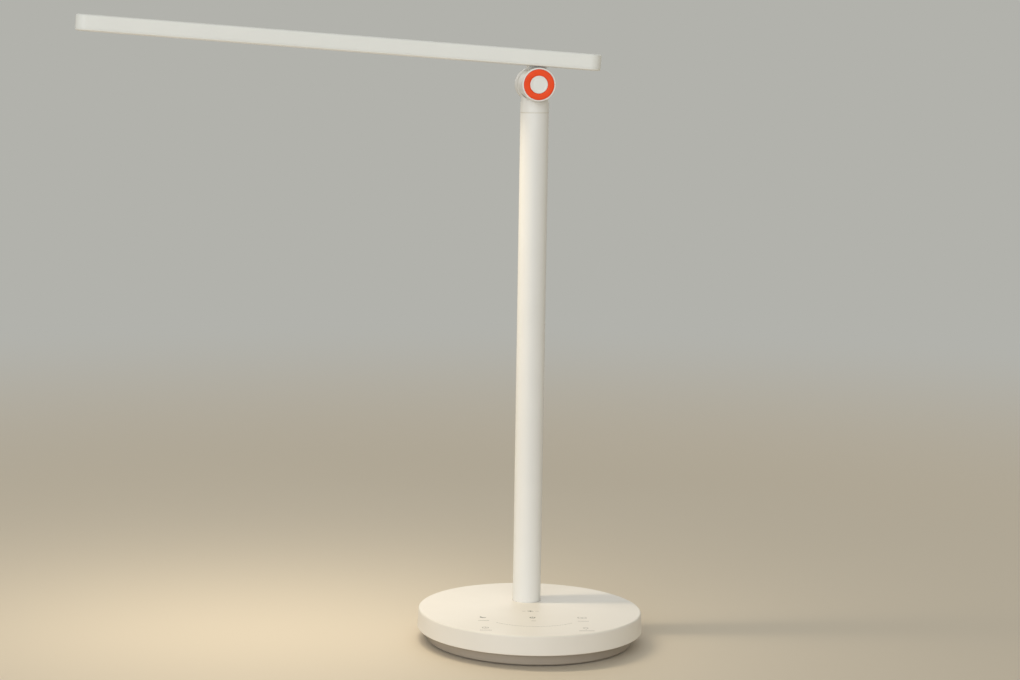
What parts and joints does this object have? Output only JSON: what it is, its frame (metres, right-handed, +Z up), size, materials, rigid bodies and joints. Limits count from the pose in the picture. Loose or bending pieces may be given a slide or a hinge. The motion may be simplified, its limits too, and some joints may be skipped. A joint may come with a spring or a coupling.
{
  "type": "desk lamp",
  "caption": "Desk lamp with a round weighted base with touch keys, an upright pole, a barrel hinge with coloured rings and a long flat light bar that tilts and swivels.",
  "frame": {"origin": "centre of the round base, on the surface that the lamp stands on", "axes": "+Z up, -Y towards the user and the keys of the base, +X to the right; the pole stands behind the origin, and the light bar reaches out towards -X, turned and raised a few degrees as stored"},
  "size_m": [0.4528, 0.18, 0.4974],
  "materials": {
    "white_shell": "fine satin moulded ABS",
    "white_paint": "satin white powder coat on steel",
    "grey_plinth": "matte warm grey moulded ABS",
    "rubber_pad": "matte non-slip rubber",
    "weight_steel": "bare pressed steel plate, oiled",
    "zinc_steel": "zinc plated",
    "shaft_steel": "turned and ground",
    "orange_plastic": "matte orange moulded ABS",
    "circuit_board": "glass epoxy with green solder mask",
    "light_board": "aluminium with white solder mask",
    "light_chip": "yellow phosphor in a white package",
    "opal_diffuser": "opal acrylic, satin",
    "white_reflector": "white reflector sheet",
    "spine_aluminium": "mill finish",
    "black_plastic": "black moulded nylon",
    "nylon": "natural nylon",
    "acetal": "natural acetal",
    "brass": "nickel free brass",
    "ferrite": "sintered ferrite",
    "capacitor_can": "aluminium can in a dark sleeve",
    "lead_sheath": "white PVC sheath",
    "dark_lead_sheath": "black PVC sheath",
    "foam": "conductive foam"
  },
  "bodies": {
    "base": {"base_cover": "white_shell", "base_bottom": "grey_plinth", "foot_pad": "rubber_pad", "counterweight": "weight_steel", "cover_screws": "zinc_steel", "weight_screws": "zinc_steel", "pole_foot": "zinc_steel", "foot_screws": "zinc_steel", "pole_tube": "white_paint", "touch_board": "circuit_board", "touch_pads": "foam", "touch_board_screws": "zinc_steel", "driver_board": "circuit_board", "driver_board_screws": "zinc_steel", "driver_coil": "ferrite", "driver_capacitor": "capacitor_can", "board_chips": "black_plastic", "board_header": "black_plastic", "lead_sockets": "nylon", "power_jack": "black_plastic", "jack_pin": "brass", "inlet_lead": "dark_lead_sheath", "column_lead": "lead_sheath", "swivel_bush": "acetal"},
    "neck": {"hinge_neck": "white_paint", "swivel_washer": "shaft_steel", "swivel_nut": "zinc_steel", "hinge_shaft": "shaft_steel", "friction_washers": "acetal", "disc_springs": "shaft_steel", "hinge_nuts": "zinc_steel", "orange_ring_front": "orange_plastic", "orange_ring_rear": "orange_plastic", "centre_cap_front": "white_shell", "centre_cap_rear": "white_shell"},
    "head": {"head_bracket": "white_paint", "bracket_screws": "zinc_steel", "head_cover": "white_shell", "head_frame": "white_shell", "frame_screws": "zinc_steel", "head_spine": "spine_aluminium", "led_board": "light_board", "led_chips": "light_chip", "reflector_tray": "white_reflector", "diffuser": "opal_diffuser", "led_socket": "nylon", "head_lead": "lead_sheath"}
  },
  "joints": [
    {"name": "head_swivel", "type": "hinge", "parent": "base", "child": "neck", "pos_m": [0, 0.029, 0.4445], "axis": [0, 0, 1], "range_deg": [-93.9, 86.1]},
    {"name": "head_tilt", "type": "hinge", "parent": "neck", "child": "head", "pos_m": [0, 0.029, 0.4445], "axis": [-0.068, 0.9977, 0], "range_deg": [-94.1, 40.9]}
  ]
}
